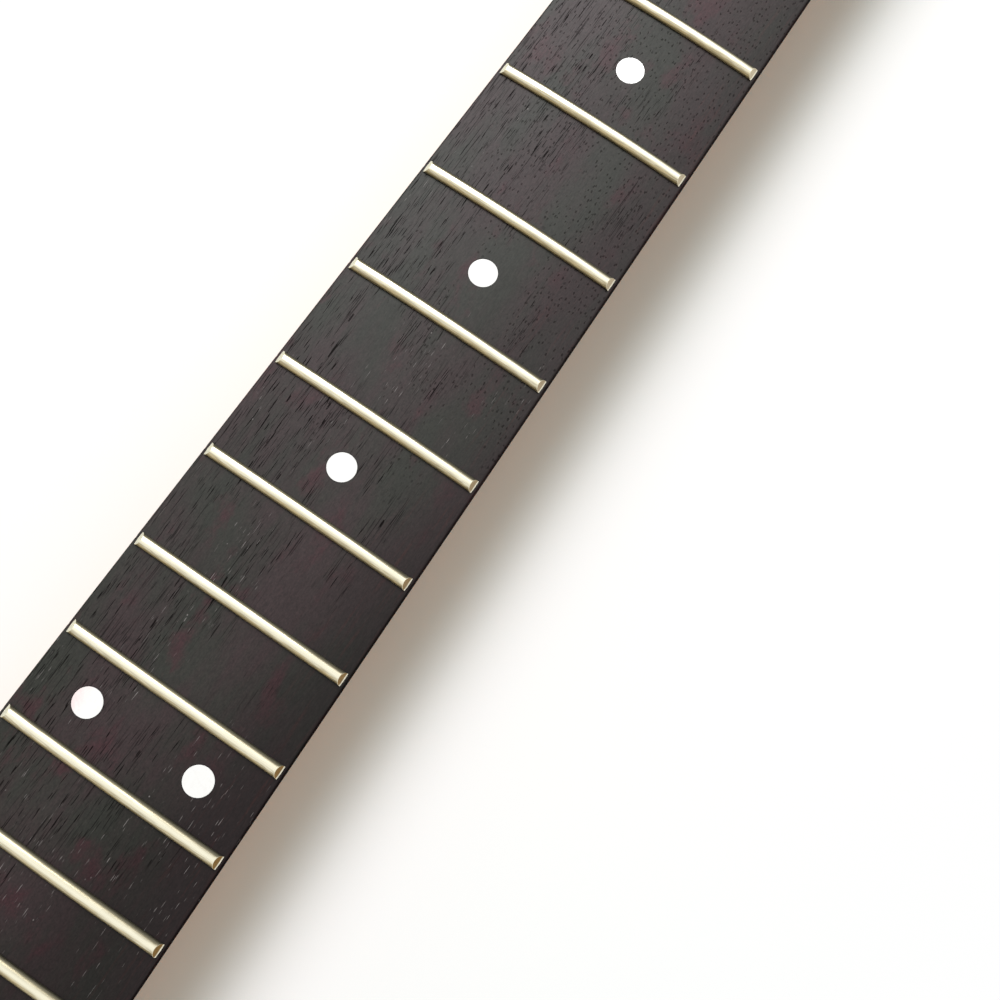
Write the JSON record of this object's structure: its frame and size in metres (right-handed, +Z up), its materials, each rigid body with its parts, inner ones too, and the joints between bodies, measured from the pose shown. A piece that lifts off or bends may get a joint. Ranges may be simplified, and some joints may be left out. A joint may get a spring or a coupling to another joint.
{
  "type": "electric guitar neck",
  "caption": "Bolt-on electric guitar neck: a carved maple blank with a bored headstock, a fretted rosewood board with dot inlays, a slotted nut and a truss rod turned from behind it.",
  "frame": {"origin": "centre of the four screw holes on the heel's flat back", "axes": "+Y along the neck towards the headstock, +Z up out of the fingerboard, +X towards the treble side"},
  "size_m": [0.0673, 0.6644, 0.0277],
  "materials": {
    "maple": "amber gloss lacquer",
    "rosewood": "oiled satin",
    "fret_wire": "polished nickel silver",
    "bone": "polished bone",
    "pearl": "white pearl",
    "steel": "plain steel",
    "brass": "machined"
  },
  "bodies": {
    "neck": {"neck_blank": "maple", "fingerboard": "rosewood", "string_nut": "bone", "fret_01": "fret_wire", "fret_02": "fret_wire", "fret_03": "fret_wire", "fret_04": "fret_wire", "fret_05": "fret_wire", "fret_06": "fret_wire", "fret_07": "fret_wire", "fret_08": "fret_wire", "fret_09": "fret_wire", "fret_10": "fret_wire", "fret_11": "fret_wire", "fret_12": "fret_wire", "fret_13": "fret_wire", "fret_14": "fret_wire", "fret_15": "fret_wire", "fret_16": "fret_wire", "fret_17": "fret_wire", "fret_18": "fret_wire", "fret_19": "fret_wire", "fret_20": "fret_wire", "fret_21": "fret_wire", "fret_22": "fret_wire", "dot_03": "pearl", "dot_05": "pearl", "dot_07": "pearl", "dot_09": "pearl", "dot_12a": "pearl", "dot_12b": "pearl", "dot_15": "pearl", "dot_17": "pearl", "dot_19": "pearl", "dot_21": "pearl", "side_dot_03": "pearl", "side_dot_05": "pearl", "side_dot_07": "pearl", "side_dot_09": "pearl", "side_dot_12a": "pearl", "side_dot_12b": "pearl", "side_dot_15": "pearl", "side_dot_17": "pearl", "side_dot_19": "pearl", "side_dot_21": "pearl", "truss_bar": "steel", "truss_block_heel": "brass", "truss_block_head": "brass"},
    "truss_screw": {"truss_rod": "steel", "truss_adjuster": "steel"}
  },
  "joints": [
    {"name": "truss_rod_turn", "type": "hinge", "parent": "neck", "child": "truss_screw", "pos_m": [0, 0.43126, 0.01155], "axis": [0, 1, 0], "range_deg": [-360, 360]}
  ]
}
